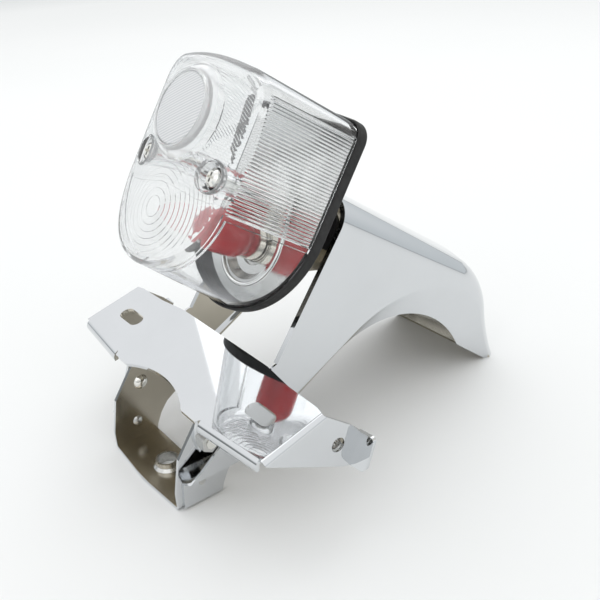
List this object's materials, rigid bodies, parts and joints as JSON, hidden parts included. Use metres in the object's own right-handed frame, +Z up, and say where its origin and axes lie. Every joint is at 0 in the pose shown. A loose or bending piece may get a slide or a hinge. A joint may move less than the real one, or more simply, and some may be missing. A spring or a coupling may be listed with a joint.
{
  "type": "motorcycle tail light",
  "caption": "Tail light with a clear ribbed lens over a red bulb, on an arched chrome bracket with a U-shaped stay and a slotted licence plate bracket.",
  "frame": {"origin": "middle of the footprint, on the surface the light stands on", "axes": "+Z up, +X lateral, the lens and the licence plate bracket face -Y"},
  "size_m": [0.1622, 0.1964, 0.1699],
  "materials": {
    "chrome": "polished",
    "nickel": "polished",
    "zinc": "satin",
    "clear": "glossy",
    "reflex": "glossy",
    "rubber": "matte",
    "red_glass": "glossy",
    "tungsten": "satin",
    "brass": "satin",
    "insulator": "matte"
  },
  "bodies": {
    "base": {"lens_gasket": "rubber", "reflector_pan": "nickel", "lens_screw_posts": "zinc", "pan_studs": "zinc", "stud_spacers": "zinc", "stud_washers": "zinc", "stud_nuts": "zinc", "mounting_plate": "nickel", "socket_shell": "nickel", "contact_carrier": "insulator", "contact_springs": "zinc", "lead_grommet": "rubber", "tail_bracket": "chrome", "strap_stay": "nickel", "strap_bush": "zinc", "strap_rivets": "zinc", "plate_bolts": "chrome", "plate_bolt_nuts": "zinc", "plate_bracket": "chrome", "arm_weld_nuts": "zinc"},
    "lens_unit": {"lens": "clear", "reflex_reflector": "reflex", "lens_screw_washers": "rubber"},
    "screw_left": {"lens_screw_left": "chrome"},
    "screw_right": {"lens_screw_right": "chrome"},
    "bulb": {"bulb_glass": "red_glass", "bulb_filaments": "tungsten", "bulb_cap": "nickel", "bulb_contacts": "tungsten"},
    "plungers": {"contact_plungers": "brass"}
  },
  "joints": [
    {"name": "lens_lift", "type": "slide", "parent": "base", "child": "lens_unit", "axis": [0, -0.8358, 0.549], "range_m": [0, 0.08]},
    {"name": "screw_left_turn", "type": "hinge", "parent": "lens_unit", "child": "screw_left", "pos_m": [-0.0236, -0.03892, 0.11758], "axis": [0, -0.8358, 0.549], "continuous": true},
    {"name": "screw_right_turn", "type": "hinge", "parent": "lens_unit", "child": "screw_right", "pos_m": [0.0236, -0.03892, 0.11758], "axis": [0, -0.8358, 0.549], "continuous": true},
    {"name": "bulb_push", "type": "slide", "parent": "base", "child": "plungers", "axis": [0, 0.8358, -0.549], "range_m": [0, 0.002], "stiffness_N_per_m": 1500, "springref_m": -0.003, "deforming": ["contact_springs"]},
    {"name": "bulb_turn", "type": "hinge", "parent": "plungers", "child": "bulb", "pos_m": [0, -0.03236, 0.09114], "axis": [0, -0.8358, 0.549], "range_deg": [0, 20]}
  ]
}
